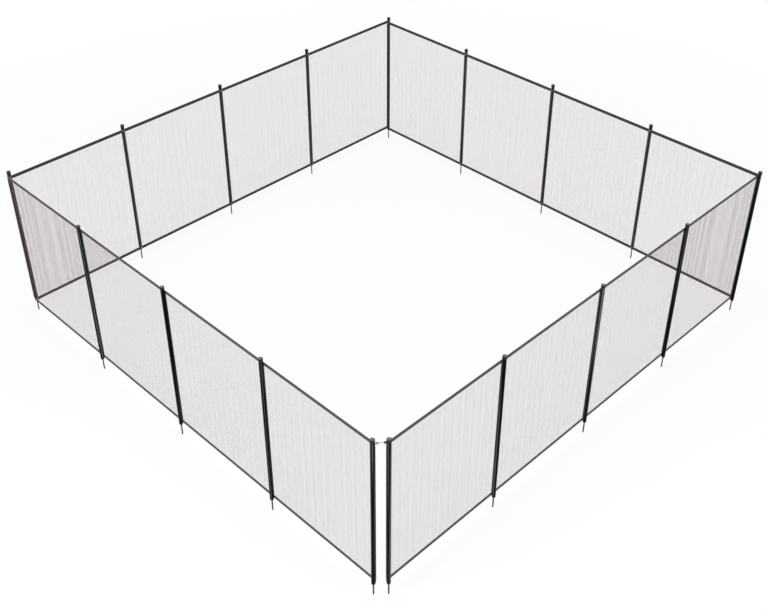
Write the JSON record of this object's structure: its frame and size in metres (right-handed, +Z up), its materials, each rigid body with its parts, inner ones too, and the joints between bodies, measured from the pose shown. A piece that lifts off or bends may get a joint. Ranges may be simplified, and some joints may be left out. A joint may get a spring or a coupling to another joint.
{
  "type": "pool safety fence",
  "caption": "Square enclosure of see-through mesh stretched on slim black posts with domed caps and ground pins, closed at one corner by a hook latch.",
  "frame": {"origin": "centre of the flat underside of the left gate post's foot, at deck level", "axes": "+Z up; +Y along the front left side and +X along the front right side, from the gate corner into the enclosure"},
  "size_m": [3.7644, 3.7124, 1.22],
  "materials": {
    "post_black": "gloss black coated aluminium tube",
    "cap_black": "moulded black plastic, satin gloss",
    "foot_black": "moulded black plastic",
    "pin_steel": "turned steel pin, dull",
    "mesh_fabric": "open woven coated mesh, see-through",
    "hem_fabric": "ribbed webbing folded over the mesh edge",
    "batten_black": "extruded black strip",
    "latch_steel": "bright steel wire and bracket"
  },
  "bodies": {
    "fence": {"post_front_left_1": "post_black", "post_front_left_2": "post_black", "post_front_left_3": "post_black", "post_front_left_4": "post_black", "post_back_left_1": "post_black", "post_back_left_2": "post_black", "post_back_left_3": "post_black", "post_back_left_4": "post_black", "post_back_right_1": "post_black", "post_back_right_2": "post_black", "post_back_right_3": "post_black", "post_back_right_4": "post_black", "post_front_right_1": "post_black", "post_front_right_2": "post_black", "post_front_right_3": "post_black", "post_front_right_4": "post_black", "post_front_right_5": "post_black", "caps_front_left": "cap_black", "caps_back_left": "cap_black", "caps_back_right": "cap_black", "caps_front_right": "cap_black", "feet_front_left": "foot_black", "feet_back_left": "foot_black", "feet_back_right": "foot_black", "feet_front_right": "foot_black", "pins_front_left": "pin_steel", "pins_back_left": "pin_steel", "pins_back_right": "pin_steel", "pins_front_right": "pin_steel", "mesh_front_left": "mesh_fabric", "mesh_back_left": "mesh_fabric", "mesh_back_right": "mesh_fabric", "mesh_front_right": "mesh_fabric", "hems_front_left": "hem_fabric", "hems_back_left": "hem_fabric", "hems_back_right": "hem_fabric", "hems_front_right": "hem_fabric", "battens_front_left": "batten_black", "battens_back_left": "batten_black", "battens_back_right": "batten_black", "battens_front_right": "batten_black", "latch_eye": "latch_steel", "latch_pivot": "latch_steel"},
    "hook": {"latch_hook": "latch_steel"}
  },
  "joints": [
    {"name": "hook_swing", "type": "hinge", "parent": "fence", "child": "hook", "pos_m": [0.04687, -0.04344, 1.104], "axis": [0.6798, 0.7334, 0], "range_deg": [0, 90]}
  ]
}
